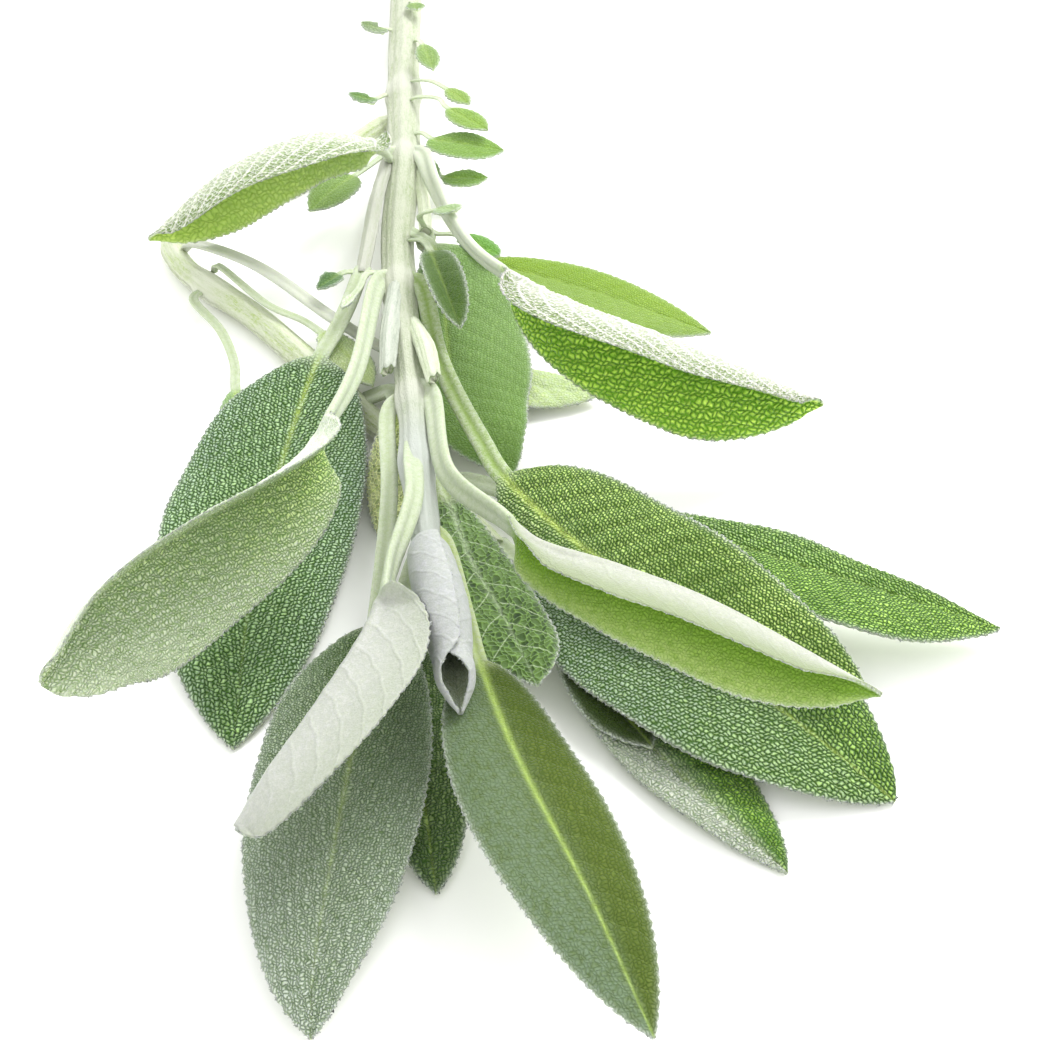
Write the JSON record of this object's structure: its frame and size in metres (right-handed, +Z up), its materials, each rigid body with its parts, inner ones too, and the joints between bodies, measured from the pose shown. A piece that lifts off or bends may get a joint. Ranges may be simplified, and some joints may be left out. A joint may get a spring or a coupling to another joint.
{
  "type": "sage sprig",
  "caption": "Cut sprig of garden sage lying flat: a downy stem with stalked, pebbled grey-green leaves and small young leaflets, for cooking, garnish or scent.",
  "frame": {"origin": "middle of the sprig's bounding box, on the surface that it lies on", "axes": "+Y towards the cut end of the main stem, -Y towards the growing tip, +Z up"},
  "size_m": [0.1125, 0.2346, 0.0307],
  "materials": {
    "leaf_green": "matte, finely pebbled green upper side with short down",
    "leaf_deep_green": "matte, pebbled dark blue-green upper side",
    "leaf_grey_green": "matte grey-green upper side with a bloom of white down",
    "leaf_white_down": "felt-like white underside with a raised net of veins",
    "leaf_young_green": "smooth, thin yellow-green young leaf",
    "stem_green": "pale whitish-green soft stem with fine down"
  },
  "bodies": {
    "root": {"main_stem": "stem_green", "side_branch": "stem_green", "shoot_left": "stem_green", "shoot_right": "stem_green", "stub_left": "leaf_white_down", "stub_right": "stem_green", "leaf_upper_left": "leaf_grey_green", "leaf_upper_right": "leaf_green", "leaf_big_left": "leaf_grey_green", "leaf_right_middle": "leaf_deep_green", "leaf_right_folded": "leaf_green", "leaf_front_left": "leaf_grey_green", "leaf_front_white": "leaf_white_down", "leaf_netted_middle": "leaf_green", "leaf_front": "leaf_deep_green", "leaf_lower_left": "leaf_deep_green", "leaf_inner_right": "leaf_green", "leaf_back_right": "leaf_young_green", "leaf_far_right": "leaf_green", "leaf_low_right": "leaf_grey_green", "leaf_low_front_right": "leaf_grey_green", "leaf_low_small": "leaf_deep_green", "leaf_narrow_front": "leaf_deep_green", "leaf_behind_stem": "leaf_green", "leaf_rolled_tip": "leaf_white_down", "leaf_striped": "leaf_young_green", "leaf_bright": "leaf_young_green", "leaf_under": "leaf_green", "leaflet_shoot_left": "leaf_deep_green", "leaflet_white_stalk": "leaf_white_down", "leaflet_flag": "leaf_young_green", "leaflet_behind": "leaf_young_green", "leaflet_folded": "leaf_deep_green", "leaflet_left": "leaf_green", "leaflet_right": "leaf_young_green", "leaflet_right_low": "leaf_young_green", "leaflet_right_upper": "leaf_young_green", "leaflet_hook": "leaf_young_green", "leaflet_upper": "leaf_green", "leaflet_upper_left": "leaf_green", "leaflet_top_left": "leaf_green", "leaflet_top_right": "leaf_green", "leaflet_axil": "leaf_green"}
  },
  "joints": []
}
